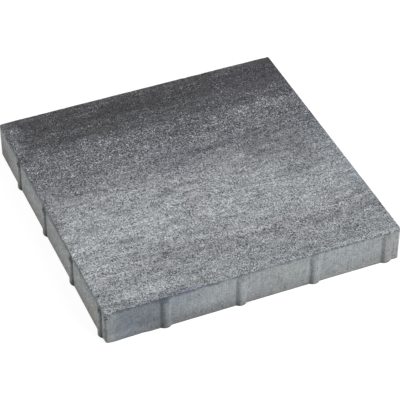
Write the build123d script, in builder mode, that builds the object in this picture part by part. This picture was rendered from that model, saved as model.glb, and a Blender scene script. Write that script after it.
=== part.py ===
"""Square concrete paving slab with spacer nibs cast on its four sides.

The slab lies on its bed face. The origin is the middle of that face, and +Z points up to the
walking face. Each side, seen from outside, has its first nib close to the right-hand corner, so
that the nibs of two neighbouring slabs pass each other and every nib meets a plain face.
"""

import os

from build123d import *

# Slab, in millimetres
laying_module = 400.0  # grid that one slab fills together with one joint
joint_width = 3.0  # gap that the nibs keep between two slabs
slab_thickness = 50.0
corner_radius = 3.0  # upright corners, in plan
arris_radius = 1.5  # softened edge all round the walking face

# Spacer nibs, in millimetres
nib_width = 14.0  # where it meets the side, the same all the way up
nib_draft = 1.0  # how far the crest draws in between the foot and the shoulder
nib_nose_height = 4.0  # from the shoulder up to the tip
nib_top_gap = 6.5  # plain band between the tip and the walking face
nib_spacing = 100.0  # centre to centre along a side
nib_end_distance = 18.0  # right-hand corner to the first nib's centre line
nib_root = 1.0  # how far the nib runs on into the side
nib_overrun = 1.0  # how far the nose's cut starts outside the crest

side_count = 4
slab_side = laying_module - joint_width
nib_count = int((slab_side - 2 * nib_end_distance) // nib_spacing) + 1

nib_tip_height = slab_thickness - nib_top_gap
nib_shoulder_height = nib_tip_height - nib_nose_height
nib_shoulder_projection = joint_width - nib_draft
nose_rise = nib_nose_height / nib_shoulder_projection  # height lost per unit that the nose stands out
nib_head_height = nib_tip_height + nib_root * nose_rise
nib_head_projection = joint_width - nib_draft * nib_head_height / nib_shoulder_height
nib_reach = joint_width + nib_overrun

# The nib is a half-round rib as wide at the head as at the foot, and less proud there. Each of
# its sections is an arc through the two edges on the side, carried on into the slab by the root.
with BuildPart() as spacer_nib:
    for height, projection in ((0, joint_width), (nib_head_height, nib_head_projection)):
        arc_radius = (nib_width**2 / 4 + projection**2) / (2 * projection)
        root_half_width = (arc_radius**2 - (arc_radius - projection - nib_root) ** 2) ** 0.5
        with BuildSketch(Plane.XY.offset(height)):
            with BuildLine():
                crest = ThreePointArc(
                    (-root_half_width, nib_root), (0, -projection), (root_half_width, nib_root)
                )
                Line(crest @ 1, crest @ 0)
            make_face()
    loft()
    # The nose slopes back from the shoulder to the tip, where it ends on the side.
    with BuildSketch(Plane.YZ):
        with BuildLine():
            Polyline(
                (nib_root, 0),
                (nib_root, nib_head_height),
                (-nib_reach, nib_tip_height - nib_reach * nose_rise),
                (-nib_reach, 0),
                close=True,
            )
        make_face()
    extrude(amount=nib_width, both=True, mode=Mode.INTERSECT)

with BuildPart() as paving_slab:
    with BuildSketch():
        RectangleRounded(slab_side, slab_side, corner_radius)
    extrude(amount=slab_thickness)
    fillet(paving_slab.faces().sort_by(Axis.Z)[-1].edges(), arris_radius)

    # The front side faces -Y, and the others are the same side turned by quarter turns.
    first_nib_x = slab_side / 2 - nib_end_distance
    nib_places = [(first_nib_x - index * nib_spacing, -slab_side / 2) for index in range(nib_count)]
    with PolarLocations(0, side_count):
        with Locations(*nib_places):
            add(spacer_nib.part)

paving_slab.part.label = "paving_slab"

os.makedirs("parts", exist_ok=True)
export_step(paving_slab.part, "parts/paving_slab.step")
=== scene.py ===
"""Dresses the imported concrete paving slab.

A grained mesh stands in place of the plain solid, with its spacer nibs, softened arris, chips and
worn corner. One procedural concrete covers it. A pale floor, soft studio lamps and a camera at the
photograph's viewing angle complete the scene.
"""

import logging
import math
from collections.abc import Sequence
from dataclasses import dataclass
from enum import Enum
from typing import ClassVar, Self

import bmesh
import bpy
import numpy as np
from mathutils import Euler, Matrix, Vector, noise


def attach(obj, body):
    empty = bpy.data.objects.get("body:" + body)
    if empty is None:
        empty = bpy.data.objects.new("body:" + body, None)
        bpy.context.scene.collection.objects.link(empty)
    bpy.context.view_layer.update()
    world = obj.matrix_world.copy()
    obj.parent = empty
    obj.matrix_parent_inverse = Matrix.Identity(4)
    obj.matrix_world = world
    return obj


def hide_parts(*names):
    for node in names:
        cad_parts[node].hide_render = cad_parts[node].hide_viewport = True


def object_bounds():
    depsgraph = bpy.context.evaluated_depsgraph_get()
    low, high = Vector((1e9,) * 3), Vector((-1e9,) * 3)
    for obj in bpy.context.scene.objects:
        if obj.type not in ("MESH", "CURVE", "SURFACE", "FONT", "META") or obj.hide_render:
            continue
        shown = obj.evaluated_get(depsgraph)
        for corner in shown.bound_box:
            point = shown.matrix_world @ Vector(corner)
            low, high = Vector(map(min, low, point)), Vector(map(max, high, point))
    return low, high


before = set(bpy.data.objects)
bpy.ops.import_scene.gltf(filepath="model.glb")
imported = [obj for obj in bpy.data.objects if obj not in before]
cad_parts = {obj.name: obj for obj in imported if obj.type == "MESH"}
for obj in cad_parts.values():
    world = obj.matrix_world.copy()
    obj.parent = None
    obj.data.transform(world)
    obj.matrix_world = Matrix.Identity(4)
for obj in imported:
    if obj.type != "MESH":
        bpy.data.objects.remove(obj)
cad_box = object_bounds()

METRES = 0.001  # shapes are worked out in millimetres and brought to metres at the end
TOUCHING = 0.001  # places closer than this, in millimetres, count as one
MIDDLE = 0.5  # mean of the noise and grain levels that a shader reads
SLAB_SIDE = 397.0
SLAB_HALF = SLAB_SIDE / 2
SLAB_THICKNESS = 50.0
NODE_NAME = "paving_slab"
BODY_NAME = "root"

log = logging.getLogger("paving_slab")

Socket = bpy.types.NodeSocket
Span = tuple[float, float]
Triple = tuple[float, float, float]
Colour = tuple[float, float, float, float]
Stop = tuple[float, Colour]


def linear(red: float, green: float, blue: float) -> Colour:
    """Turns a screen colour into the linear colour that a shader takes.

    Args:
        red: Red from 0 to 255.
        green: Green from 0 to 255.
        blue: Blue from 0 to 255.

    Returns:
        The linear colour with an alpha of 1.
    """

    def channel(level: float) -> float:
        """Gives the linear value of one screen channel."""
        part = level / 255
        return part / 12.92 if part <= 0.04045 else ((part + 0.055) / 1.055) ** 2.4

    return channel(red), channel(green), channel(blue), 1.0


def grey(level: float) -> Colour:
    """Gives the grey of a linear level."""
    return level, level, level, 1.0


def hump(distance: np.ndarray, reach: np.ndarray | float) -> np.ndarray:
    """Gives 1 where the distance is nil, and falls off softly over the reach."""
    return np.exp(-((distance / reach) ** 2))


def finished_mesh(shape: bmesh.types.BMesh, name: str) -> bpy.types.Mesh:
    """Turns a modelled shape into a mesh.

    Args:
        shape: The shape, which is freed.
        name: Name of the mesh.

    Returns:
        The mesh.
    """
    mesh = bpy.data.meshes.new(name)
    shape.to_mesh(mesh)
    shape.free()
    return mesh


def put_in_scene(name: str, data: bpy.types.ID) -> bpy.types.Object:
    """Makes an object of a mesh, lamp or camera.

    Args:
        name: Name of the object.
        data: What it shows.

    Returns:
        The object, at the origin of the scene.
    """
    piece = bpy.data.objects.new(name, data)
    bpy.context.scene.collection.objects.link(piece)
    return piece


@dataclass(frozen=True)
class Ripple:
    """Smooth noise that shapes the slab."""

    cell: float | Triple  # size of one noise cell, the same all ways or for each axis
    seed: float  # picks another part of the noise
    strength: float
    start: float | None = None  # level from which pits, pores and chips begin

    def at(self, points: np.ndarray) -> np.ndarray:
        """Reads the noise at many points.

        Args:
            points: Rows of x, y and z in millimetres.

        Returns:
            One value for each point.
        """
        places = points / np.asarray(self.cell, dtype=float) + self.seed
        level = np.array([noise.noise(Vector(place)) for place in places])
        if self.start is not None:
            level = np.maximum(level - self.start, 0.0)
        return self.strength * level

    @staticmethod
    def together(ripples: Sequence["Ripple"], points: np.ndarray) -> np.ndarray:
        """Adds several ripples up at many points."""
        return np.sum([ripple.at(points) for ripple in ripples], axis=0)


class Side(Enum):
    """The four sides of the slab, counted in quarter turns from the front."""

    FRONT = 0
    RIGHT = 1
    BACK = 2
    LEFT = 3

    @property
    def outward(self) -> Span:
        """Direction in plan that the side faces."""
        return ((0.0, -1.0), (1.0, 0.0), (0.0, 1.0), (-1.0, 0.0))[self.value]

    @property
    def rightward(self) -> Span:
        """Direction in plan along the side, to the right of someone who looks at it."""
        return ((1.0, 0.0), (0.0, 1.0), (-1.0, 0.0), (0.0, -1.0))[self.value]


@dataclass(frozen=True)
class SpacerNib:
    """A half-round spacer nib: a rib of one width that is less proud towards its sloping nose."""

    width: float = 14.0
    proud: float = 3.0
    draft: float = 1.0
    shoulder_height: float = 39.5
    tip_height: float = 43.5
    spacing: float = 100.0
    end_distance: float = 18.0
    count: int = 4
    shade_inward: float = 0.45  # how far the painted shade and soiling spread from a flank, as a share of the half width
    shade_outward: float = 0.12
    shade_change: Span = (-3.0, 2.0)  # across this, the left flank's painted shade gives way to the right's
    shade_over_shoulder: float = 9.5
    flank_share: float = 0.62  # painted shade half-way up a flank, as a share of that at the ends
    foot_shade_height: float = 6.0
    head_shade_drop: float = 1.5
    head_shade_shift: float = 0.8
    head_shade_reach: float = 4.2

    def rise(self, across: np.ndarray, height: np.ndarray) -> np.ndarray:
        """Gives how far the nib stands out of the side.

        Args:
            across: Distances from the nib's centre line.
            height: Heights over the bed.

        Returns:
            The projection at each place, nil outside the nib.
        """
        crest = self.proud - self.draft * height / self.shoulder_height
        radius = (self.width**2 / 4 + crest**2) / (2 * crest)
        arc = np.sqrt(np.maximum(radius**2 - across**2, 0.0)) - radius + crest
        slope = (self.proud - self.draft) / (self.tip_height - self.shoulder_height)
        nose = (self.tip_height - height) * slope
        return np.minimum(arc, nose).clip(0.0, self.proud)

    def shade_and_dirt(self, across: np.ndarray, height: np.ndarray, flank_shade: Span) -> np.ndarray:
        """Gives the painted shade on the flanks, with some soiling, thickest round the head and at the
        foot.

        Args:
            across: Distances from the nib's centre line.
            height: Heights over the bed.
            flank_shade: How much painted shade and soiling the two flanks take, left and right.

        Returns:
            The painted shade and soiling at each place, from 0 to 1.
        """
        over_shoulder = np.maximum(height - self.shoulder_height, 0.0) / self.shade_over_shoulder
        span = np.hypot(across / (self.width / 2), over_shoulder)
        flank = hump(span - 1.0, np.where(span < 1.0, self.shade_inward, self.shade_outward))
        foot = hump(height, self.foot_shade_height)
        head = hump(height - self.tip_height + self.head_shade_drop, self.head_shade_reach)
        ends = (foot + head).clip(0.0, 1.0)
        flank *= np.interp(across, self.shade_change, flank_shade)
        flank *= self.flank_share + (1.0 - self.flank_share) * ends
        # Painted shade over the nib's head
        cap = max(flank_shade) * head * hump(across - self.head_shade_shift, self.head_shade_reach)
        return np.maximum(flank, cap)

    def centres(self) -> list[float]:
        """Lists the nibs' places to the right of a side's middle."""
        first = SLAB_HALF - self.end_distance
        return [first - index * self.spacing for index in range(self.count)]


@dataclass(frozen=True)
class WornSpot:
    """A place where the edge is rubbed or knocked off."""

    x: float
    y: float
    reach: float
    depth: float

    def strength(self, places: np.ndarray) -> np.ndarray:
        """Gives how much more the edge is rounded at each place."""
        return self.depth * hump(np.hypot(places[:, 0] - self.x, places[:, 1] - self.y), self.reach)


@dataclass
class NibMoves:
    """How raising the nibs moves the grid, vertex by vertex."""

    push: np.ndarray
    slide: np.ndarray
    # Painted shade and soiling along the nibs, from 0 to 1
    crease_shade: np.ndarray

    @classmethod
    def none(cls, count: int) -> Self:
        """Starts with no move for each of count vertices."""
        return cls(np.zeros(count), np.zeros((count, 2)), np.zeros(count))


@dataclass
class PavingSlab:
    """The slab with its spacer nibs, cast as one piece."""

    name: str = "slab_cast"
    side: float = SLAB_SIDE
    half: float = SLAB_HALF
    thickness: float = SLAB_THICKNESS
    corner_radius: float = 3.0
    worn_corner_radius: float = 3.2
    arris_radius: float = 1.5
    arris_wander: Ripple = Ripple(17.0, 7.7, 0.5)
    arris_chips: Ripple = Ripple(5.5, 31.4, 2.2, 0.28)
    bed_edge_radius: float = 0.4
    bed_edge_wander: Ripple = Ripple(14.0, 55.3, 0.24)
    coarse_cuts: int = 117
    coarse_courses: int = 10
    edge_crowding: float = 4.0
    crease_angle: float = 40.0
    square_on: float = 0.999  # cosine from which a vertex belongs to one side, not to a corner
    nib: SpacerNib = SpacerNib()
    # Painted shade and soiling on each side's nib flanks, left and right
    nib_shade: tuple[Span, ...] = ((0.45, 0.08), (0.3, 0.3), (0.3, 0.3), (0.1, 1.0))
    courses: tuple[float, ...] = (
        0.0, 0.7, 1.8, 3.6, 6.2, 9.4, 12.8, 16.4, 20.0, 23.6, 27.2, 30.6,
        33.6, 36.2, 38.4, 40.4, 42.2, 43.8, 45.4, 46.9, 48.2, 49.2, 50.0,
    )  # fmt: skip
    worn_arris: tuple[WornSpot, ...] = (
        WornSpot(x=-198.5, y=147.0, reach=15.0, depth=2.5),
        WornSpot(x=-198.5, y=178.0, reach=16.0, depth=2.0),
        WornSpot(x=-196.0, y=-196.0, reach=9.0, depth=2.0),
    )
    worn_bed_edge: tuple[WornSpot, ...] = (
        WornSpot(x=-165.0, y=-198.5, reach=22.0, depth=1.4),
        WornSpot(x=-150.0, y=-198.5, reach=5.0, depth=1.0),
        WornSpot(x=-198.5, y=-194.5, reach=6.5, depth=3.8),
    )
    # Sandy relief of the walking face: fine and middling grains, slow waves, then pits
    grain: tuple[Ripple, ...] = (
        Ripple(2.8, 3.1, 0.08),
        Ripple(7.0, 12.9, 0.048),
        Ripple((60.0, 32.0, 40.0), 40.2, 0.04),
        Ripple(4.4, 77.7, -0.24, 0.42),
    )
    grain_tips: float = 0.024  # height at which the grains are pressed flat
    # Relief of the sides: slow waves, upright drag lines, then pores
    side_relief: tuple[Ripple, ...] = (
        Ripple((46.0, 46.0, 30.0), 21.5, 0.22),
        Ripple((2.2, 2.2, 26.0), 64.1, 0.066),
        Ripple(4.0, 91.3, -0.528, 0.5),
    )
    side_sink: float = 0.022
    bed_relief: tuple[Ripple, ...] = (Ripple(6.0, 15.5, 0.5), Ripple(16.0, 5.2, 0.35))

    def build(self) -> bpy.types.Object:
        """Models the slab and gives it to the scene.

        Returns:
            The slab's object, at the origin.
        """
        block = self._grid()
        marks = self._shape(block)
        bmesh.ops.scale(block, vec=(METRES, METRES, METRES), verts=block.verts)
        mesh = finished_mesh(block, self.name)
        mesh.shade_smooth()
        mesh.set_sharp_from_angle(angle=math.radians(self.crease_angle))
        for name, levels in marks.items():
            mark = mesh.attributes.new(name, "FLOAT", "POINT")
            mark.data.foreach_set("value", levels.astype(np.float32))
        return put_in_scene(self.name, mesh)

    def dress(self, slab: bpy.types.Object, finish: "Concrete") -> None:
        """Gives the slab its finish and its place in the frame.

        Args:
            slab: The slab's object.
            finish: The concrete that covers it.
        """
        slab.data.materials.append(finish.material())
        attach(slab, BODY_NAME)
        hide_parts(NODE_NAME)

    def _grid(self) -> bmesh.types.BMesh:
        """Makes a block whose faces carry an even grid, coarser on the bed than elsewhere.

        Returns:
            The block, in millimetres, standing on its bed.
        """
        block = bmesh.new()
        bmesh.ops.create_cube(block, size=1.0)
        bmesh.ops.translate(block, vec=(0.0, 0.0, 0.5), verts=block.verts)
        bmesh.ops.scale(block, vec=(self.side, self.side, self.thickness), verts=block.verts)
        cuts = (self.coarse_cuts, self.coarse_cuts, self.coarse_courses)
        for axis in (2, 0, 1):
            along = [edge for edge in block.edges if self._runs_along(edge, axis)]
            bmesh.ops.subdivide_edges(block, edges=along, cuts=cuts[axis], use_grid_fill=True)
        finer = [edge for edge in block.edges if not self._inside_bed(edge)]
        bmesh.ops.subdivide_edges(block, edges=finer, cuts=1, use_grid_fill=True)
        block.verts.ensure_lookup_table()
        return block

    @staticmethod
    def _runs_along(edge: bmesh.types.BMEdge, axis: int) -> bool:
        """Tells whether an edge runs along an axis."""
        run = edge.verts[0].co - edge.verts[1].co
        return abs(run[axis]) > run.length / 2

    @staticmethod
    def _inside_bed(edge: bmesh.types.BMEdge) -> bool:
        """Tells whether an edge lies inside the bed face."""
        return all(face.calc_center_median().z < TOUCHING for face in edge.link_faces)

    def _shape(self, block: bmesh.types.BMesh) -> dict[str, np.ndarray]:
        """Turns the plain block into the slab by moving its vertices.

        Args:
            block: The gridded block, changed in place.

        Returns:
            Levels from 0 to 1 at each vertex: the height of the grain, and the painted shade and
                soiling along the nibs.
        """
        flat = np.array([vert.co[:] for vert in block.verts])
        on_top = flat[:, 2] > self.thickness - TOUCHING
        on_bed = flat[:, 2] < TOUCHING
        on_side = np.abs(flat[:, :2]).max(axis=1) > self.half - TOUCHING
        plan, inset, outward = self._round_corners(self._crowded(flat[:, :2]))
        even = np.linspace(0.0, self.thickness, len(self.courses))
        places = np.column_stack([plan, np.interp(flat[:, 2], even, self.courses)])
        moves = NibMoves.none(len(places))
        for side in Side:
            facing = on_side & (outward @ np.array(side.outward) > self.square_on)
            self._raise_nibs(side, facing, places, moves)
        drawn, lift, tilt = self._soften_edges(places, inset, on_top, on_bed, on_side)
        top_share = np.where(on_top | on_side, np.cos(tilt), 0.0).clip(0.0, 1.0)
        side_share = np.where(on_side, np.sin(tilt), 0.0).clip(0.0, 1.0)
        grain = np.minimum(Ripple.together(self.grain, places), self.grain_tips)
        drag = Ripple.together(self.side_relief, places) - self.side_sink
        rough = np.maximum(Ripple.together(self.bed_relief, places), 0.0)
        push = moves.push + drawn + drag * side_share
        plan = plan + moves.slide + outward * push[:, None]
        height = places[:, 2] + lift - top_share * (grain.max() - grain)
        height = height + np.where(on_bed & ~on_side, rough, 0.0)
        limit = cad_box[1][0] / METRES
        shaped = np.column_stack([plan.clip(-limit, limit), height.clip(0.0, self.thickness)])
        for vert, place in zip(block.verts, shaped):
            vert.co = place
        return {"grain": (grain - grain.min()) / np.ptp(grain), "crease_shade": moves.crease_shade}

    def _crowded(self, lines: np.ndarray) -> np.ndarray:
        """Draws evenly spaced grid lines towards the slab's edges.

        Args:
            lines: Places of the lines along their axes.

        Returns:
            The new places.
        """
        cells = self.coarse_cuts + 1
        steps = (self.half - np.abs(lines)) / self.half * cells
        inset = steps**2 / (steps + self.edge_crowding)
        inset *= self.half / (cells**2 / (cells + self.edge_crowding))
        return np.sign(lines) * (self.half - inset)

    def _round_corners(self, plan: np.ndarray) -> tuple[np.ndarray, np.ndarray, np.ndarray]:
        """Rounds the four upright corners in plan.

        Args:
            plan: Rows of x and y.

        Returns:
            The new rows, the distance inside the outline, and the outward direction in plan.
        """
        size = np.abs(plan)
        inset = self.half - size.max(axis=1)
        wide = size[:, 0] >= size[:, 1]
        outward = np.sign(plan) * np.column_stack([wide, ~wide])
        rounded = plan.copy()
        for corner in ((-1, -1), (-1, 1), (1, -1), (1, 1)):
            radius = self.worn_corner_radius if corner == (-1, -1) else self.corner_radius
            core = self.half - radius
            square = (plan * corner - core) / radius
            here = (square > 0).all(axis=1)
            square = square[here]
            disc = square * np.sqrt(1 - square[:, ::-1] ** 2 / 2)
            reach = np.hypot(disc[:, 0], disc[:, 1])
            rounded[here] = corner * (core + radius * disc)
            inset[here] = radius * (1 - reach)
            outward[here] = corner * disc / reach[:, None]
        return rounded, inset, outward

    def _raise_nibs(self, side: Side, facing: np.ndarray, places: np.ndarray, moves: NibMoves) -> None:
        """Brings the side's grid lines to the nibs' edges and pushes the nibs out.

        Args:
            side: The side that the nibs stand on.
            facing: Marks the vertices of that side.
            places: Vertices before the nibs are raised.
            moves: How each vertex moves, filled in here.
        """
        right = np.array(side.rightward)
        place = places[facing, :2] @ right
        height = places[facing, 2]
        lines = np.unique(place.round(6))
        knots, targets = [-self.half], [-self.half]
        for centre in sorted(self.nib.centres()):
            # Lines at the nib's edges move to them, and lines as far out again stay.
            for share, moved_here in ((-2.0, False), (-1.0, True), (1.0, True), (2.0, False)):
                goal = centre + share * self.nib.width / 2
                knots.append(lines[np.abs(lines - goal).argmin()])
                targets.append(goal if moved_here else knots[-1])
        moved = np.interp(place, knots + [self.half], targets + [self.half])
        taken = ((self.thickness - height) / (self.thickness - self.nib.tip_height)).clip(0.0, 1.0)
        moved = place + taken * (moved - place)
        for centre in self.nib.centres():
            across = moved - centre
            # Painted shade and soiling in the nib's creases, at its head and at its foot
            shade_and_dirt = self.nib.shade_and_dirt(across, height, self.nib_shade[side.value])
            moves.push[facing] = np.maximum(moves.push[facing], self.nib.rise(across, height))
            moves.crease_shade[facing] = np.maximum(moves.crease_shade[facing], shade_and_dirt)
        moves.slide[facing] = (moved - place)[:, None] * right

    def _soften_edges(
        self,
        places: np.ndarray,
        inset: np.ndarray,
        on_top: np.ndarray,
        on_bed: np.ndarray,
        on_side: np.ndarray,
    ) -> tuple[np.ndarray, np.ndarray, np.ndarray]:
        """Rolls the walking face's arris and the bed's edge over, with chips and worn spots.

        Args:
            places: Vertices before the edges are softened.
            inset: Distance of each vertex inside the outline.
            on_top: Marks the walking face.
            on_bed: Marks the bed face.
            on_side: Marks the sides.

        Returns:
            How far each vertex moves outwards, how far it moves up, and its slope from level.
        """
        edge = places * np.array([1.0, 1.0, 0.0])
        arris = self.arris_radius + self.arris_wander.at(edge) + self.arris_chips.at(edge)
        arris += sum(spot.strength(places) for spot in self.worn_arris)
        bed_edge = self.bed_edge_radius + self.bed_edge_wander.at(edge)
        bed_edge += sum(spot.strength(places) for spot in self.worn_bed_edge)
        drawn = np.zeros(len(places))
        lift = np.zeros(len(places))
        tilt = np.where(on_side, math.pi / 2, 0.0)
        for radius, faced, level, way in (
            (arris, on_top, self.thickness, -1.0),
            (bed_edge, on_bed, 0.0, 1.0),
        ):
            depth = np.abs(places[:, 2] - level)
            reach = np.where(on_side, 1 + depth / radius, 1 - inset / radius)
            here = ((faced & (inset < radius)) | (on_side & (depth < radius))) & (reach > 0)
            angle = reach * math.pi / 4
            drawn = np.where(here, inset - radius * (1 - np.sin(angle)), drawn)
            lift = np.where(here, way * (radius * (1 - np.cos(angle)) - depth), lift)
            tilt = np.where(here, angle, tilt)
        return drawn, lift, tilt


class Value:
    """A number that changes over the surface, with operators that add Math nodes."""

    def __init__(self, bench: "Bench", socket: Socket) -> None:
        """Wraps an output socket of the bench's node tree."""
        self.bench = bench
        self.socket = socket

    def _with(self, operation: str, *given: object) -> "Value":
        """Adds one Math node, given its operation and its one or two values."""
        return self.bench.value("ShaderNodeMath", {"operation": operation}, dict(enumerate(given)))

    def __add__(self, other: object) -> "Value":
        """Adds another value."""
        return self._with("ADD", self, other)

    def __radd__(self, other: object) -> "Value":
        """Adds to another value."""
        return self._with("ADD", other, self)

    def __sub__(self, other: object) -> "Value":
        """Takes another value away."""
        return self._with("SUBTRACT", self, other)

    def __rsub__(self, other: object) -> "Value":
        """Takes this value away from another."""
        return self._with("SUBTRACT", other, self)

    def __mul__(self, other: object) -> "Value":
        """Multiplies by another value."""
        return self._with("MULTIPLY", self, other)

    def __rmul__(self, other: object) -> "Value":
        """Multiplies another value."""
        return self._with("MULTIPLY", other, self)

    def __truediv__(self, other: object) -> "Value":
        """Divides by another value."""
        return self._with("DIVIDE", self, other)

    def __rpow__(self, other: object) -> "Value":
        """Raises another value to this power."""
        return self._with("POWER", other, self)

    def __abs__(self) -> "Value":
        """Drops the sign."""
        return self._with("ABSOLUTE", self)

    def most(self, other: object) -> "Value":
        """Keeps the larger of two values."""
        return self._with("MAXIMUM", self, other)

    def between(self, low: float, high: float) -> "Value":
        """Makes a smooth step.

        Args:
            low: Value at which the step starts.
            high: Value at which it ends, which may be the smaller one.

        Returns:
            0 before low and 1 after high.
        """
        settings = {"interpolation_type": "SMOOTHSTEP"}
        sockets = {"Value": self, "From Min": low, "From Max": high}
        return self.bench.value("ShaderNodeMapRange", settings, sockets)


class Bench:
    """A node tree, with the few ways in which nodes are added to it."""

    def __init__(self, owner: bpy.types.Material | bpy.types.World) -> None:
        """Takes over a node tree and clears it.

        Args:
            owner: Material or world that the tree belongs to.
        """
        owner.use_nodes = True
        self.tree = owner.node_tree
        self.tree.nodes.clear()

    def node(
        self,
        kind: str,
        settings: dict[str, object] | None = None,
        sockets: dict[str | int, object] | None = None,
    ) -> bpy.types.Node:
        """Adds one node.

        Args:
            kind: The node's type.
            settings: Properties to set first; stops are a colour ramp's positions and colours.
            sockets: Values or links of the inputs, by name or number.

        Returns:
            The new node.
        """
        node = self.tree.nodes.new(kind)
        for name, setting in (settings or {}).items():
            if name == "stops":
                self._set_stops(node.color_ramp, setting)
            else:
                setattr(node, name, setting)
        for name, given in (sockets or {}).items():
            link = given.socket if isinstance(given, Value) else given
            if isinstance(link, Socket):
                self.tree.links.new(link, node.inputs[name])
            else:
                node.inputs[name].default_value = link
        return node

    @staticmethod
    def _set_stops(ramp: bpy.types.ColorRamp, stops: Sequence[Stop]) -> None:
        """Fills a colour ramp.

        Args:
            ramp: The ramp to fill.
            stops: Positions and colours, in order.
        """
        ramp.interpolation = "EASE"
        while len(ramp.elements) < len(stops):
            ramp.elements.new(1.0)
        for element, (position, colour) in zip(ramp.elements, stops):
            element.position = position
            element.color = colour

    def value(
        self,
        kind: str,
        settings: dict[str, object] | None = None,
        sockets: dict[str | int, object] | None = None,
        output: str | int = 0,
    ) -> Value:
        """Adds one node, as the node method does, and wraps one of its outputs."""
        return Value(self, self.node(kind, settings, sockets).outputs[output])

    def mark(self, name: str) -> Value:
        """Reads one of the mesh's own levels."""
        return self.value("ShaderNodeAttribute", {"attribute_name": name}, output="Fac")

    def parts(self, vector: Socket) -> list[Value]:
        """Splits a vector into its x, y and z."""
        split = self.node("ShaderNodeSeparateXYZ", sockets={0: vector})
        return [Value(self, part) for part in split.outputs]

    def length(self, vector: Socket) -> Value:
        """Measures a vector."""
        return self.value("ShaderNodeVectorMath", {"operation": "LENGTH"}, {0: vector}, "Value")

    def vector(self, operation: str, first: object, second: object) -> Socket:
        """Adds one Vector Math node.

        Args:
            operation: Name of the operation.
            first: First vector or colour.
            second: Second vector, or the number for SCALE.

        Returns:
            The resulting vector.
        """
        other = "Scale" if operation == "SCALE" else 1
        sockets = {0: first, other: second}
        return self.node("ShaderNodeVectorMath", {"operation": operation}, sockets).outputs[0]

    def ramp(self, stops: Sequence[Stop], share: Value) -> Socket:
        """Reads a colour from a band of stops."""
        return self.node("ShaderNodeValToRGB", {"stops": stops}, {0: share}).outputs[0]

    def mix(self, share: object, first: object, second: object) -> Socket:
        """Mixes two colours, by the share of the second one."""
        sockets = {0: share, 6: first, 7: second}
        return self.node("ShaderNodeMix", {"data_type": "RGBA"}, sockets).outputs[2]

    def tint(self, share: object, colour: Socket, factors: Sequence[float]) -> Socket:
        """Multiplies a share of a colour by factors on red, green and blue."""
        return self.mix(share, colour, self.vector("MULTIPLY", colour, factors))

    def by_ray(self, lighting: bpy.types.Node, shown: bpy.types.Node) -> Socket:
        """Parts what lights the slab from what is seen directly, in a reflection or through glass.

        Args:
            lighting: The shader that other rays meet.
            shown: The shader that is seen.

        Returns:
            The shader that does both.
        """
        path = self.node("ShaderNodeLightPath").outputs
        seen = Value(self, path["Is Camera Ray"])
        for ray in ("Is Glossy Ray", "Is Transmission Ray"):
            seen = seen.most(Value(self, path[ray]))
        sockets = {0: seen, 1: lighting.outputs[0], 2: shown.outputs[0]}
        return self.node("ShaderNodeMixShader", sockets=sockets).outputs[0]


class Layer:
    """A layer of a finish, whose level goes from 0 to 1 with a mean of one half."""

    strength: float

    def level(self, here: "Spot") -> Value:
        """Gives the layer's level at a point of the surface."""
        raise NotImplementedError

    def drift(self, here: "Spot") -> Value:
        """Gives the layer as a change to either side of nil, at its strength."""
        return self.strength * (self.level(here) - MIDDLE)


@dataclass(frozen=True)
class Cloud(Layer):
    """Soft clouds, drawn out along an axis where their cells are longer."""

    cell: Triple
    detail: float
    strength: float = 1.0
    roughness: float = 0.55

    def texture(self, bench: Bench, place: Socket) -> bpy.types.Node:
        """Adds the noise texture.

        Args:
            bench: Where the nodes go.
            place: Object coordinates in millimetres.

        Returns:
            The texture's node.
        """
        scaled = bench.vector("MULTIPLY", place, tuple(1 / size for size in self.cell))
        sockets = {"Vector": scaled, "Scale": 1.0, "Detail": self.detail, "Roughness": self.roughness}
        return bench.node("ShaderNodeTexNoise", {"noise_dimensions": "3D"}, sockets)

    def level(self, here: "Spot") -> Value:
        """Gives the clouds' level."""
        return Value(here.bench, self.texture(here.bench, here.place).outputs[0])


@dataclass(frozen=True)
class Fleck(Layer):
    """Grains of one size, each with a level of its own."""

    size: float
    strength: float = 1.0

    def level(self, here: "Spot") -> Value:
        """Gives the grains' level.

        Args:
            here: The point of the surface.

        Returns:
            A level from 0 to 1, the same all over a grain.
        """
        sockets = {"Vector": here.place, "Scale": 1 / self.size}
        grains = here.bench.node("ShaderNodeTexVoronoi", {"voronoi_dimensions": "3D"}, sockets)
        return here.bench.value("ShaderNodeSeparateColor", sockets={0: grains.outputs["Color"]})


@dataclass(frozen=True)
class Specks(Fleck):
    """The few grains that stand out, such as pores and glints."""

    span: Span = (0.0, 1.0)  # levels at which a grain begins to stand out and stands out in full

    def drift(self, here: "Spot") -> Value:
        """Gives the grains that stand out, at their strength."""
        return self.strength * self.level(here).between(*self.span)


@dataclass(frozen=True)
class Spot:
    """What the concrete's layers read at a point of its surface, in millimetres."""

    bench: Bench
    place: Socket
    ragged: Socket
    x: Value
    y: Value
    z: Value
    raggedness: ClassVar[Cloud] = Cloud((36.0, 12.0, 17.0), 4.0, roughness=0.62)
    ragged_reach: ClassVar[Triple] = (34.0, 9.0, 13.0)

    @classmethod
    def on(cls, bench: Bench) -> Self:
        """Adds the nodes that give the point.

        Args:
            bench: Where the nodes go.

        Returns:
            The point, with a second reading of it whose edges come out uneven.
        """
        place = bench.vector("SCALE", bench.node("ShaderNodeTexCoord").outputs["Object"], 1 / METRES)
        push = cls.raggedness.texture(bench, place).outputs["Color"]
        push = bench.vector("SUBTRACT", push, (MIDDLE, MIDDLE, MIDDLE))
        push = bench.vector("MULTIPLY", push, cls.ragged_reach)
        return cls(bench, place, bench.vector("ADD", place, push), *bench.parts(place))

    def total(self, layers: Sequence[Layer], start: Value | float = 1.0) -> Value:
        """Adds layers up from a start, which is 1 for a brightness factor."""
        return sum((layer.drift(self) for layer in layers), start)

    @staticmethod
    def share(along: Value) -> Value:
        """Turns a place along X or Y into a share of the slab's side."""
        return (along + SLAB_HALF) / SLAB_SIDE


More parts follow.
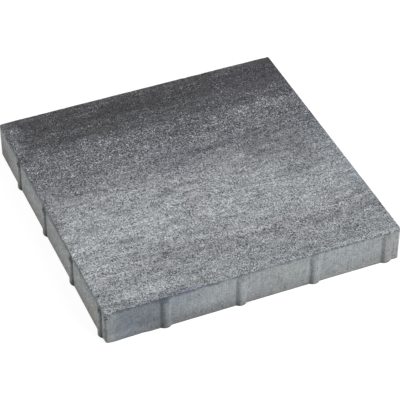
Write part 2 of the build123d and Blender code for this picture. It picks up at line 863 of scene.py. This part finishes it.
class Cast(Enum):
    """Tints that a stain can lean to, as factors on red, green and blue."""

    GREY = (1.0, 1.0, 1.0)
    BLUE = (0.98, 1.0, 1.02)
    SLATE = (0.92, 0.98, 1.10)
    VIOLET = (0.97, 0.96, 1.08)
    MAUVE = (1.02, 0.98, 1.03)
    PINK = (1.03, 0.99, 0.98)
    RUST = (1.10, 0.99, 0.90)


class Surface(Enum):
    """Faces that carry stains: the axis each faces along, its level there and a stain's depth."""

    WALKING_FACE = (2, SLAB_THICKNESS, 30.0)
    FRONT = (1, -SLAB_HALF - 0.5, 8.0)
    LEFT = (0, -SLAB_HALF - 0.5, 8.0)

    def spread(self, place: Span, halves: Span) -> tuple[Triple, Triple]:
        """Places a stain in space.

        Args:
            place: Its middle on the face.
            halves: Its half length and half width.

        Returns:
            Its middle in space, and its reach along each axis.
        """
        axis, level, depth = self.value
        middle = (*place[:axis], level, *place[axis:])
        return middle, (*halves[:axis], depth, *halves[axis:])


@dataclass(frozen=True)
class Stain:
    """A soft patch, darker, lighter or of another tint than the concrete round it."""

    along: float  # place of its middle, along X on the walking face and the front, else along Y
    across: float  # along Y on the walking face, else the height
    length: float  # half its length
    width: float  # half its width or height
    level: float  # brightness against the concrete round it
    cast: Cast = Cast.GREY
    fade: ClassVar[Span] = (1.3, 0.4)  # from its edge to its core, as shares of its reach

    def over(self, colour: Socket, here: Spot, surface: Surface) -> Socket:
        """Lays the stain over a colour.

        Args:
            colour: The colour without the stain.
            here: The point of the surface.
            surface: The face that the stain lies on.

        Returns:
            The stained colour.
        """
        centre, reach = surface.spread((self.along, self.across), (self.length, self.width))
        scale = tuple(1 / size for size in reach)
        shift = tuple(-middle / size for middle, size in zip(centre, reach))
        settings, sockets = {"operation": "MULTIPLY_ADD"}, {0: here.ragged, 1: scale, 2: shift}
        offset = here.bench.node("ShaderNodeVectorMath", settings, sockets).outputs[0]
        tint = tuple(self.level * part for part in self.cast.value)
        return here.bench.tint(here.bench.length(offset).between(*self.fade), colour, tint)


@dataclass(frozen=True)
class SaltAndPepper:
    """The grain of the facing, stronger in some patches than in others."""

    sand: Fleck = Fleck(1.0, 2.4)
    dust: Cloud = Cloud((0.8, 0.8, 0.8), 1.0, 0.6)
    patches: Cloud = Cloud((24.0, 14.0, 16.0), 3.0)
    patch_range: Span = (0.3, 0.7)
    contrast: float = 0.86
    patch_contrast: float = 0.5
    dark_contrast: float = 0.5
    deep_calm: float = 0.8  # how much smoother the darkest band is between the patches
    # Painted shade and light: how much darker the hollows of the mesh relief are, and the tops lighter
    relief_shading: float = 0.15
    relief_mean: float = 0.88
    light_gain: float = 0.62
    blackest: float = 0.12
    dark_base: float = 2.0  # each step of level doubles the brightness on dark pigment
    glints: Specks = Specks(1.3, span=(0.92, 0.96))
    glint_gain: float = 0.3
    dark_glint_gain: float = 0.9
    pits: Fleck = Fleck(1.5)
    pit_range: Span = (0.05, 0.0)
    pit_depth: float = 0.55
    patch_pits: float = -0.14
    mean: float = 1.015  # these two bring the mean back to 1
    dark_mean: float = -0.11

    def tone(self, here: Spot, dark: Value, deep: Value) -> Value:
        """Makes the grain.

        Args:
            here: The point of the surface.
            dark: Share of dark pigment at the point.
            deep: Share of the darkest band.

        Returns:
            A brightness factor with a mean of about 1.
        """
        patchy = self.patches.level(here).between(*self.patch_range)
        contrast = self.contrast + self.patch_contrast * patchy + self.dark_contrast * dark
        contrast = contrast - self.deep_calm * deep * (1.0 - patchy)
        # Painted shade in the hollows of the mesh relief, painted light on its tops
        relief = self.relief_shading * (here.bench.mark("grain") - self.relief_mean)
        level = contrast * (self.sand.drift(here) + self.dust.drift(here)) + relief
        light = (1.0 + self.light_gain * level).most(self.blackest)
        tone = light + dark * (self.dark_base**level - light)
        glints = (self.glint_gain + self.dark_glint_gain * dark) * self.glints.drift(here)
        pits = (self.pits.level(here) + self.patch_pits * patchy).between(*self.pit_range)
        return tone * (self.mean + self.dark_mean * dark + glints - self.pit_depth * pits)


@dataclass(frozen=True)
class Facing:
    """The speckled facing of the walking face, which fades from anthracite to light grey."""

    grain: SaltAndPepper = SaltAndPepper()
    band_edges: tuple[Layer, ...] = (Cloud((95.0, 60.0, 60.0), 2.0, 24.0), Fleck(2.1, 11.0))
    dark_range: Span = (0.50, 0.72)
    deep_range: Span = (0.76, 0.86)
    # Streaks, mottling and a broad veil
    clouds: tuple[Cloud, ...] = (
        Cloud((70.0, 5.5, 30.0), 2.0, 0.9, 0.6),
        Cloud((20.0, 9.0, 12.0), 1.0, 0.75, 0.6),
        Cloud((60.0, 40.0, 40.0), 2.0, 0.3),
    )
    # From the front edge to the back one
    band: tuple[Stop, ...] = (
        (0.000, linear(135, 139, 142)),
        (0.155, linear(136, 139, 142)),
        (0.180, linear(147, 150, 153)),
        (0.250, linear(148, 152, 155)),
        (0.340, linear(154, 158, 161)),
        (0.400, linear(152, 156, 159)),
        (0.495, linear(144, 147, 150)),
        (0.570, linear(128, 131, 135)),
        (0.620, linear(110, 113, 117)),
        (0.690, linear(105, 107, 111)),
        (0.775, linear(98, 99, 103)),
        (0.800, linear(86, 87, 90)),
        (0.925, linear(71, 71, 73)),
        (1.000, linear(77, 77, 79)),
    )
    stains: tuple[Stain, ...] = (
        Stain(-5.0, 165.0, 75.0, 16.0, 0.80),
        Stain(-135.0, 133.0, 42.0, 9.0, 0.75),
        Stain(95.0, 143.0, 28.0, 18.0, 1.15),
        Stain(140.0, 160.0, 70.0, 40.0, 1.05, Cast.MAUVE),
        Stain(-196.0, 162.0, 18.0, 40.0, 2.00, Cast.BLUE),
        Stain(-85.0, 108.0, 40.0, 14.0, 1.15),
        Stain(135.0, 103.0, 62.0, 11.0, 1.30),
        Stain(-88.0, 63.0, 32.0, 18.0, 1.08),
        Stain(30.0, 98.0, 40.0, 20.0, 0.88),
        Stain(45.0, 43.0, 110.0, 8.0, 0.80, Cast.MAUVE),
        Stain(190.0, -10.0, 24.0, 150.0, 0.90, Cast.BLUE),
        Stain(135.0, -12.0, 40.0, 62.0, 0.78),
        Stain(97.0, 21.0, 18.0, 18.0, 0.77),
        Stain(-8.0, 20.0, 28.0, 12.0, 0.88, Cast.MAUVE),
        Stain(-100.0, -1.0, 44.0, 5.0, 1.18),
        Stain(5.0, -3.0, 38.0, 4.5, 1.18),
        Stain(0.0, -12.0, 28.0, 4.0, 0.82, Cast.PINK),
        Stain(-46.0, -20.0, 13.0, 9.0, 0.78),
        Stain(126.0, -31.0, 7.0, 7.0, 0.77),
        Stain(117.0, -46.0, 28.0, 5.0, 0.78),
        Stain(-200.0, -30.0, 7.0, 50.0, 0.75),
        Stain(-150.0, -40.0, 46.0, 12.0, 0.90),
        Stain(-13.0, -42.0, 18.0, 45.0, 1.00, Cast.PINK),
        Stain(-126.0, -87.0, 20.0, 3.2, 0.55),
        Stain(-90.0, -126.0, 7.0, 4.0, 0.45),
        Stain(80.0, -125.5, 78.0, 5.0, 1.10, Cast.PINK),
        Stain(99.0, -139.0, 105.0, 9.0, 0.85),
        Stain(-166.0, -142.0, 52.0, 28.0, 1.14),
        Stain(-133.0, -152.0, 38.0, 5.0, 0.82),
        Stain(96.0, -162.0, 4.0, 14.0, 1.12, Cast.PINK),
        Stain(-145.0, -176.0, 56.0, 10.0, 1.25),
        Stain(137.0, -180.0, 17.0, 15.0, 0.85),
        Stain(-94.0, -198.0, 27.0, 5.5, 0.77, Cast.VIOLET),
    )

    def colour(self, here: Spot) -> Socket:
        """Makes the facing's colour.

        Args:
            here: The point of the surface.

        Returns:
            The finished colour.
        """
        back = here.bench.parts(here.ragged)[1]
        share = here.share(here.total(self.band_edges, back))
        dark = share.between(*self.dark_range)
        deep = share.between(*self.deep_range)
        tone = self.grain.tone(here, dark, deep) * here.total(self.clouds)
        colour = here.bench.vector("SCALE", here.bench.ramp(self.band, share), tone)
        for stain in self.stains:
            colour = stain.over(colour, here, Surface.WALKING_FACE)
        return colour


@dataclass(frozen=True)
class CastSides:
    """The sides, with the mould's drag lines, darker towards the head and the foot, and a painted
    shadow along the bottom edge.
    """

    # From the left end of the front side to its right end
    front_band: tuple[Stop, ...] = (
        (0.00, linear(138, 142, 144)),
        (0.02, linear(143, 148, 150)),
        (0.05, linear(124, 131, 138)),
        (0.12, linear(121, 127, 134)),
        (0.185, linear(123, 129, 134)),
        (0.215, linear(139, 145, 149)),
        (0.38, linear(154, 160, 163)),
        (0.50, linear(152, 156, 158)),
        (0.62, linear(152, 157, 158)),
        (0.80, linear(151, 156, 158)),
        (1.00, linear(149, 152, 153)),
    )
    # From the front end of the left side to its back end
    left_band: tuple[Stop, ...] = (
        (0.00, linear(148, 152, 154)),
        (0.10, linear(150, 154, 154)),
        (0.25, linear(156, 160, 159)),
        (0.45, linear(150, 154, 154)),
        (0.80, linear(147, 151, 149)),
        (1.00, linear(136, 138, 137)),
    )
    front_stains: tuple[Stain, ...] = (
        # Over the head of the leftmost nib: painted shade and a dark stain
        Stain(-119.5, 46.0, 10.0, 4.5, 0.67, Cast.SLATE),
        Stain(-95.0, 47.0, 12.0, 4.0, 0.81, Cast.VIOLET),
        Stain(-58.0, 49.0, 10.0, 3.0, 0.73),
        Stain(-95.0, 38.0, 17.0, 10.0, 1.03, Cast.BLUE),
        Stain(-146.0, 20.0, 20.0, 8.0, 0.88),
        Stain(-48.0, 4.0, 52.0, 9.0, 0.84),
        Stain(-168.0, 7.0, 36.0, 10.0, 1.30),
        Stain(140.0, 4.0, 60.0, 7.0, 1.14),
    )
    left_stains: tuple[Stain, ...] = (
        Stain(180.0, 45.0, 22.0, 8.0, 1.20),
        Stain(178.0, 10.0, 22.0, 14.0, 0.80),
        Stain(63.0, 28.0, 9.0, 15.0, 1.08),
        Stain(-158.0, 20.0, 15.0, 14.0, 1.00, Cast.RUST),
        Stain(-168.0, 46.0, 30.0, 7.0, 1.25),
        Stain(-38.0, 49.0, 40.0, 4.0, 0.80),
    )
    corner_blend: Span = (-1.0, 1.0)
    unevenness: float = 0.5  # how far the bands' ends follow the ragged reading
    foot_tint: Triple = (0.77, 0.75, 0.73)
    foot_edge: Cloud = Cloud((30.0, 30.0, 14.0), 3.0, 26.0)
    foot_range: Span = (27.0, 1.0)
    # A thin painted shadow along the bottom edge of the sides
    foot_shadow_range: Span = (3.0, 0.3)
    foot_shadow_edge: float = 6.0
    foot_shadow_depth: float = 0.3
    head_tint: Triple = (0.62, 0.64, 0.67)
    head_range: Span = (6.0, 2.0)
    head_edge: float = 7.0
    flank_head: float = 0.8  # how much deeper the head is on the left and right sides
    fray: Cloud = Cloud((7.0, 7.0, 7.0), 3.0, roughness=0.6)
    # Drag lines, mottling, sand and pores
    tones: tuple[Layer, ...] = (
        Cloud((1.7, 1.7, 30.0), 2.0, 0.6),
        Cloud((8.0, 8.0, 8.0), 4.0, 0.6, 0.65),
        Fleck(1.1, 0.45),
        Specks(2.0, -0.35, (0.03, 0.01)),
    )
    flank_grit: Fleck = Fleck(2.6, 0.45)

    def colour(self, here: Spot) -> Socket:
        """Makes the sides' colour.

        Args:
            here: The point of the surface.

        Returns:
            The finished colour.
        """
        bench = here.bench
        flank = (abs(here.x) - abs(here.y)).between(*self.corner_blend)
        uneven_x, uneven_y, _ = bench.parts(here.ragged)
        bands = []
        for stops, even, uneven in (
            (self.front_band, here.x, uneven_x),
            (self.left_band, here.y, uneven_y),
        ):
            along = self.unevenness * uneven + (1.0 - self.unevenness) * even
            bands.append(bench.ramp(stops, here.share(along)))
        colour = bench.mix(flank, *bands)
        foot = (here.z + self.foot_edge.drift(here)).between(*self.foot_range)
        colour = bench.tint(foot, colour, self.foot_tint)
        fray = self.fray.drift(here)
        depth = (SLAB_THICKNESS - here.z) / (1.0 + self.flank_head * flank)
        head = (depth + self.head_edge * fray).between(*self.head_range)
        colour = bench.tint(head, colour, self.head_tint)
        # Painted shadow along the bottom edge
        foot_shadow = (here.z + self.foot_shadow_edge * fray).between(*self.foot_shadow_range)
        tone = here.total(self.tones) + flank * self.flank_grit.drift(here)
        colour = bench.vector("SCALE", colour, tone * (1.0 - self.foot_shadow_depth * foot_shadow))
        for surface, stains in (
            (Surface.FRONT, self.front_stains),
            (Surface.LEFT, self.left_stains),
        ):
            for stain in stains:
                colour = stain.over(colour, here, surface)
        return colour


@dataclass(frozen=True)
class CastBed:
    """The bed as the press leaves it: rough, with stones and pores at the surface."""

    grey: Triple = linear(140, 143, 142)[:3]
    # Mottling, stones, sand and pores
    tones: tuple[Layer, ...] = (
        Cloud((22.0, 22.0, 22.0), 4.0, 0.7, 0.65),
        Fleck(4.5, 0.25),
        Fleck(1.1, 0.4),
        Specks(2.6, -0.5, (0.07, 0.03)),
    )

    def colour(self, here: Spot) -> Socket:
        """Makes the bed's colour at a point of the surface."""
        return here.bench.vector("SCALE", self.grey, here.total(self.tones))


@dataclass(frozen=True)
class FacingEdge:
    """Where the facing ends on the sides, lower at the worn corner and the worn back left end."""

    depth: float = 1.2
    least_depth: float = 0.5
    softness: float = 0.6
    waves: Cloud = Cloud((16.0, 16.0, 40.0), 1.0, 5.0)
    ripples: Cloud = Cloud((3.4, 3.4, 8.0), 2.0)
    ripple_depth: float = 6.0
    right_end_x: Span = (60.0, 190.0)
    right_end_y: Span = (0.0, -190.0)
    right_end_run: float = 2.0
    corner_run: float = 11.0
    corner_range: Span = (11.0, 2.0)
    corner_edge: float = 8.0
    worn_end_side: Span = (30.0 - SLAB_HALF, 20.0 - SLAB_HALF)
    worn_end_start: Span = (SLAB_HALF - 52.0, SLAB_HALF - 24.0)
    worn_end_stop: Span = (SLAB_HALF - 3.0, SLAB_HALF - 22.0)
    worn_end_rest: float = 0.25  # share of the wear that is left at the very corner
    worn_end_run: float = 3.5
    worn_end_patches: Cloud = Cloud((9.0, 9.0, 7.0), 3.0, 22.0, 0.65)
    worn_softness: float = 2.0

    def at(self, here: Spot) -> tuple[Value, Value, Value]:
        """Works out how far down the sides the facing runs.

        Args:
            here: The point of the surface.

        Returns:
            The depth under the walking face, how softly the facing ends there, both in millimetres,
            and how clear the seam is, which the worn corner and end have lost.
        """
        bench = here.bench
        ripples = self.ripples.drift(here)
        stop = self.worn_end_rest + (1.0 - self.worn_end_rest) * here.y.between(*self.worn_end_stop)
        worn_end = here.x.between(*self.worn_end_side) * here.y.between(*self.worn_end_start) * stop
        to_corner = bench.vector("ADD", here.place, (SLAB_HALF, SLAB_HALF, 0.0))
        to_corner = bench.vector("MULTIPLY", to_corner, (1.0, 1.0, 0.0))
        corner = (bench.length(to_corner) + self.corner_edge * ripples).between(*self.corner_range)
        right_end = here.x.between(*self.right_end_x) * here.y.between(*self.right_end_y)
        limit = self.depth + self.waves.drift(here) + self.ripple_depth * ripples
        limit = (limit + self.right_end_run * right_end).most(self.least_depth)
        patches = self.worn_end_patches.drift(here) + self.worn_end_run
        limit = limit + self.corner_run * corner + patches * worn_end
        softness = self.softness + self.worn_softness * worn_end.most(corner)
        return limit, softness, (1.0 - corner) * (1.0 - worn_end)


@dataclass(frozen=True)
class Concrete:
    """Pressed concrete: a speckled facing over plain cast sides and a rough bed."""

    name: str = "pressed_concrete"
    facing: Facing = Facing()
    facing_edge: FacingEdge = FacingEdge()
    facing_fade: Span = (1.0, -1.0)  # across the facing's edge, as multiples of its softness
    facing_heights: Span = (20.0, 28.0)
    sides: CastSides = CastSides()
    bed: CastBed = CastBed()
    bed_inset: Span = (1.0, 4.0)
    bed_heights: Span = (8.0, 3.0)
    seam_tint: Triple = (0.50, 0.53, 0.60)
    seam_upper: Span = (-2.0, 0.0)  # across the same edge
    seam_lower: Span = (2.4, 0.0)
    seam_heights: Span = (34.0, 44.0)
    seam_breaks: Cloud = Cloud((5.0, 5.0, 5.0), 2.0)
    seam_break_range: Span = (0.36, 0.6)
    # How much the painted shade and soiling along the nibs darken the colour
    crease_shade_depth: float = 0.96
    specular: float = 0.3
    side_roughness: float = 0.86
    facing_roughness: float = 0.94
    bump_sand: Cloud = Cloud((1.2, 1.2, 1.2), 2.0, roughness=0.6)
    bump_drags: Cloud = Cloud((1.3, 1.3, 20.0), 2.0)
    side_bump: float = 0.35
    side_sand: float = 0.7
    bump_strength: float = 0.6
    bump_depth: float = 0.6

    def material(self) -> bpy.types.Material:
        """Builds the material.

        Returns:
            The finished material.
        """
        material = bpy.data.materials.new(self.name)
        bench = Bench(material)
        here = Spot.on(bench)
        inset = SLAB_HALF - abs(here.x).most(abs(here.y))
        limit, softness, sharp = self.facing_edge.at(here)
        past = (SLAB_THICKNESS - here.z - inset - limit) / softness
        facing = past.between(*self.facing_fade) * here.z.between(*self.facing_heights)
        under = inset.between(*self.bed_inset) * here.z.between(*self.bed_heights)
        colour = bench.mix(under, self.sides.colour(here), self.bed.colour(here))
        colour = bench.mix(facing, colour, self.facing.colour(here))
        seam = past.between(*self.seam_upper) * past.between(*self.seam_lower)
        broken = self.seam_breaks.level(here).between(*self.seam_break_range)
        seam = seam * broken * sharp * here.z.between(*self.seam_heights)
        colour = bench.tint(seam, colour, self.seam_tint)
        # Painted shade and soiling along the nibs' creases, heads and feet darken the colour
        colour = bench.vector("SCALE", colour, 1.0 - self.crease_shade_depth * bench.mark("crease_shade"))
        more_rough = self.facing_roughness - self.side_roughness
        sockets = {
            "Base Color": colour,
            "Roughness": self.side_roughness + more_rough * facing,
            "Specular IOR Level": self.specular,
            "Normal": self._bump(here, facing),
        }
        shader = bench.node("ShaderNodeBsdfPrincipled", sockets=sockets)
        bench.node("ShaderNodeOutputMaterial", sockets={"Surface": shader.outputs[0]})
        return material

    def _bump(self, here: Spot, facing: Value) -> Socket:
        """Makes the grain that is finer than the mesh.

        Args:
            here: The point of the surface.
            facing: Share of facing at the point.

        Returns:
            The bumped normal.
        """
        sand = self.bump_sand.level(here)
        drags = self.side_sand * sand + self.bump_drags.level(here)
        height = facing * sand + self.side_bump * (1.0 - facing) * drags
        depth = self.bump_depth * METRES
        sockets = {"Strength": self.bump_strength, "Distance": depth, "Height": height}
        return here.bench.node("ShaderNodeBump", sockets=sockets).outputs[0]


@dataclass(frozen=True)
class PaleFloor:
    """A plain pale floor that looks white and keeps the slab's shadow."""

    name: str = "pale_floor"
    extent: float = 6.0
    drop: float = 0.0008
    glow: float = 0.86
    shade: Colour = grey(0.24)
    bounce: Colour = grey(0.22)

    def build(self) -> bpy.types.Object:
        """Lays the floor and gives it its material.

        Returns:
            The floor's object.
        """
        sheet = bmesh.new()
        bmesh.ops.create_grid(sheet, x_segments=1, y_segments=1, size=self.extent)
        bmesh.ops.translate(sheet, vec=(0.0, 0.0, -self.drop), verts=sheet.verts)
        floor = put_in_scene(self.name, finished_mesh(sheet, self.name))
        floor.data.materials.append(self._material())
        return floor

    def _material(self) -> bpy.types.Material:
        """Builds a material that the camera sees as white with a soft shadow.

        Returns:
            The finished material.
        """
        material = bpy.data.materials.new(self.name)
        bench = Bench(material)
        glow = bench.node("ShaderNodeEmission", sockets={"Strength": self.glow})
        matt = bench.node("ShaderNodeBsdfDiffuse", sockets={"Color": self.shade})
        shown = bench.node("ShaderNodeAddShader", sockets={0: glow.outputs[0], 1: matt.outputs[0]})
        dull = bench.node("ShaderNodeBsdfDiffuse", sockets={"Color": self.bounce})
        bench.node("ShaderNodeOutputMaterial", sockets={"Surface": bench.by_ray(dull, shown)})
        return material


@dataclass(frozen=True)
class SoftLamp:
    """A large square lamp that points at the slab."""

    name: str
    place: Triple
    size: float
    level: float

    def hang(self, target: Vector) -> None:
        """Hangs the lamp.

        Args:
            target: Point that the lamp faces.
        """
        lamp = bpy.data.lights.new(self.name, "AREA")
        lamp.shape = "SQUARE"
        lamp.size = self.size
        away = Vector(self.place) - target
        lamp.energy = 4 * math.pi * away.length_squared * self.level
        hung = put_in_scene(self.name, lamp)
        hung.location = self.place
        hung.rotation_euler = away.to_track_quat("Z", "Y").to_euler()


@dataclass(frozen=True)
class Studio:
    """Soft studio light: one lamp to the right of the camera, one behind on the left, one above."""

    ambient: Colour = grey(0.06)
    backdrop: Colour = grey(1.0)
    target: Triple = (0.0, 0.0, 0.03)
    lamps: tuple[SoftLamp, ...] = (
        SoftLamp("right_lamp", (1.0, -1.68, 1.34), 1.5, 0.95),
        SoftLamp("back_left_lamp", (-1.98, 0.77, 1.1), 1.5, 0.55),
        SoftLamp("top_lamp", (0.0, 0.1, 2.4), 1.6, 0.04),
    )

    def build(self) -> None:
        """Sets the world, the lamps and the view."""
        scene = bpy.context.scene
        scene.world = bpy.data.worlds.new("studio")
        bench = Bench(scene.world)
        dim = bench.node("ShaderNodeBackground", sockets={"Color": self.ambient})
        white = bench.node("ShaderNodeBackground", sockets={"Color": self.backdrop})
        bench.node("ShaderNodeOutputWorld", sockets={"Surface": bench.by_ray(dim, white)})
        for lamp in self.lamps:
            lamp.hang(Vector(self.target))
        scene.view_settings.view_transform = "Standard"


@dataclass(frozen=True)
class PhotoCamera:
    """The camera at the photograph's viewing angle, solved from the slab's outline."""

    name: str = "photo_camera"
    place: Triple = (-0.69362, -1.64265, 1.52959)
    down: float = 40.507
    heading: float = 23.1746
    roll: float = 0.108
    focal_length: float = 160.95
    film_width: float = 36.0

    def build(self) -> bpy.types.Object:
        """Sets up the camera and makes it the scene's own.

        Returns:
            The camera's object.
        """
        lens = bpy.data.cameras.new(self.name)
        lens.lens = self.focal_length
        lens.sensor_width = self.film_width
        camera = put_in_scene(self.name, lens)
        camera.location = self.place
        turn = Euler((math.radians(90 - self.down), 0.0, math.radians(-self.heading)))
        spin = Euler((0.0, 0.0, math.radians(self.roll)))
        camera.rotation_euler = (turn.to_matrix() @ spin.to_matrix()).to_euler()
        bpy.context.scene.camera = camera
        return camera


def main() -> None:
    """Builds the camera, the slab, the floor and the studio in order."""
    logging.basicConfig(level=logging.INFO, format="%(name)s: %(message)s")
    camera = PhotoCamera().build()
    log.info("%s: focal length %.2f mm", camera.name, camera.data.lens)
    paving_slab = PavingSlab()
    slab = paving_slab.build()
    paving_slab.dress(slab, Concrete())
    log.info("%s: %d faces", slab.name, len(slab.data.polygons))
    floor = PaleFloor().build()
    log.info("%s: laid", floor.name)
    Studio().build()


if __name__ == "__main__":
    main()
